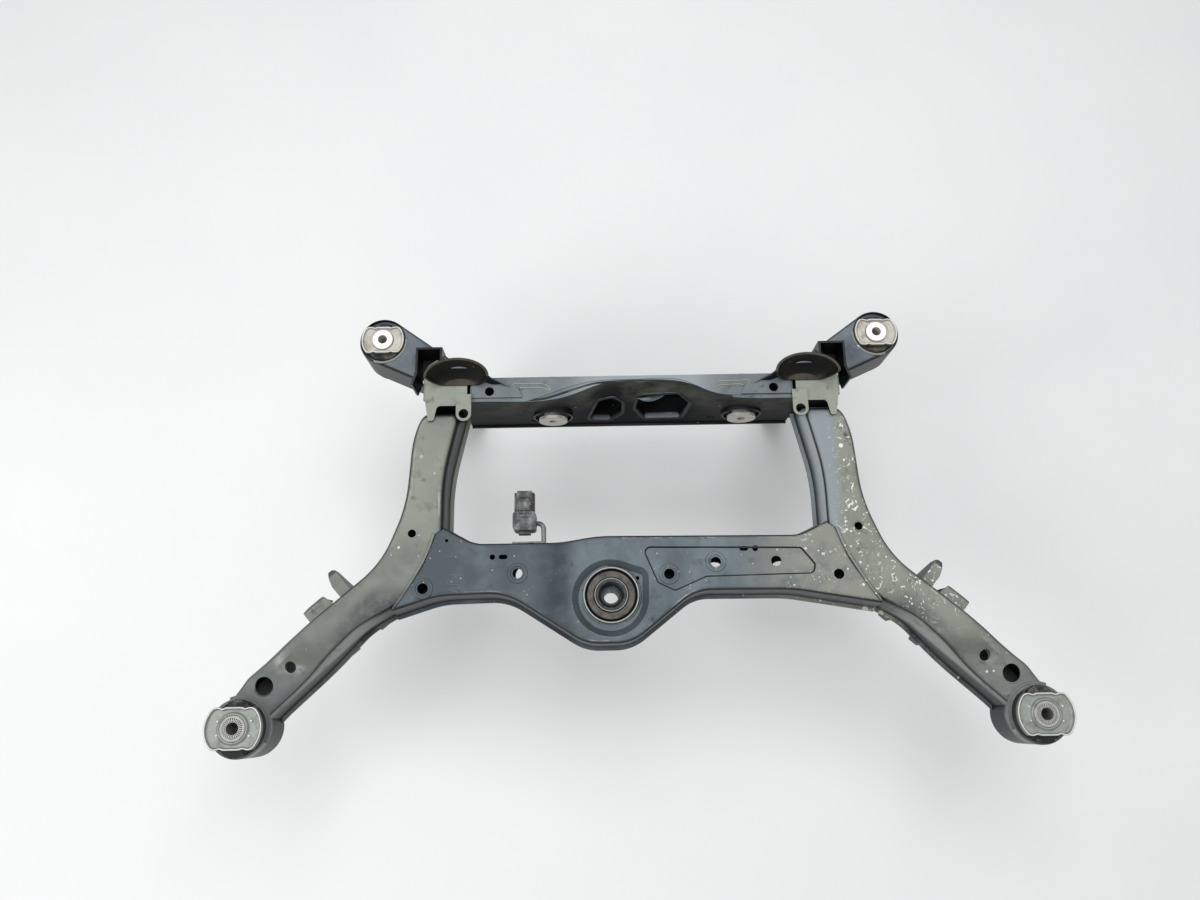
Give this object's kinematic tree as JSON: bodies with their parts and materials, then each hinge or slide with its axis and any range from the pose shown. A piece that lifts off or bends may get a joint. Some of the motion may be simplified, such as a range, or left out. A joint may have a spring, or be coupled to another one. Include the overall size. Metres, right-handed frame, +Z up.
{
  "type": "rear subframe",
  "caption": "Welded pressed-steel rear subframe with rubber body mounts, differential bushes, link brackets and a small sensor on a bent rod.",
  "frame": {"origin": "midway between the two front body mounts, on their top contact faces", "axes": "+X to the right, +Y towards the rear, +Z up, as the frame sits under a car"},
  "size_m": [1.117, 0.6015, 0.387],
  "materials": {
    "coated_steel": "thin dark grey dip coat, satin, dusty",
    "black_coated_steel": "black dip coat, satin",
    "bush_rubber": "matt, dusty",
    "zinc_plate": "zinc plated, dull",
    "machined_core": "turned, serrated top face",
    "bush_steel": "plain turned steel, dusty",
    "black_plastic": "moulded, matt",
    "bracket_steel": "dark coat"
  },
  "bodies": {
    "root": {"front_crossmember_lower": "coated_steel", "front_crossmember_upper": "coated_steel", "front_diff_bush_housing": "coated_steel", "front_diff_bush_rubber": "bush_rubber", "front_diff_bush_sleeve": "bush_steel", "left_arm_bracket_front": "coated_steel", "left_arm_bracket_rear": "coated_steel", "left_corner_ear": "coated_steel", "left_corner_plate": "coated_steel", "left_front_mount_core": "machined_core", "left_front_mount_housing": "coated_steel", "left_front_mount_plate": "zinc_plate", "left_front_mount_rubber": "bush_rubber", "left_lap_plate": "coated_steel", "left_link_cup": "coated_steel", "left_lower_link_bracket": "black_coated_steel", "left_rear_bush_inner": "bush_steel", "left_rear_bush_outer": "bush_steel", "left_rear_bush_rubber": "bush_rubber", "left_rear_horn_lower": "coated_steel", "left_rear_horn_upper": "coated_steel", "left_rear_mount_core": "machined_core", "left_rear_mount_housing": "coated_steel", "left_rear_mount_plate": "zinc_plate", "left_rear_mount_rubber": "bush_rubber", "left_side_member_lower": "coated_steel", "left_side_member_upper": "coated_steel", "left_upper_link_bracket": "black_coated_steel", "rear_crossmember_front": "coated_steel", "rear_crossmember_rear": "coated_steel", "rear_crossmember_top": "coated_steel", "right_arm_bracket_front": "coated_steel", "right_arm_bracket_rear": "coated_steel", "right_corner_ear": "coated_steel", "right_corner_plate": "coated_steel", "right_front_mount_core": "machined_core", "right_front_mount_housing": "coated_steel", "right_front_mount_plate": "zinc_plate", "right_front_mount_rubber": "bush_rubber", "right_lap_plate": "coated_steel", "right_link_cup": "coated_steel", "right_lower_link_bracket": "black_coated_steel", "right_rear_bush_inner": "bush_steel", "right_rear_bush_outer": "bush_steel", "right_rear_bush_rubber": "bush_rubber", "right_rear_horn_lower": "coated_steel", "right_rear_horn_upper": "coated_steel", "right_rear_mount_core": "machined_core", "right_rear_mount_housing": "coated_steel", "right_rear_mount_plate": "zinc_plate", "right_rear_mount_rubber": "bush_rubber", "right_side_member_lower": "coated_steel", "right_side_member_upper": "coated_steel", "right_upper_link_bracket": "black_coated_steel", "sensor_body": "black_plastic", "sensor_bracket": "bracket_steel", "sensor_connector": "black_plastic"}
  },
  "joints": []
}
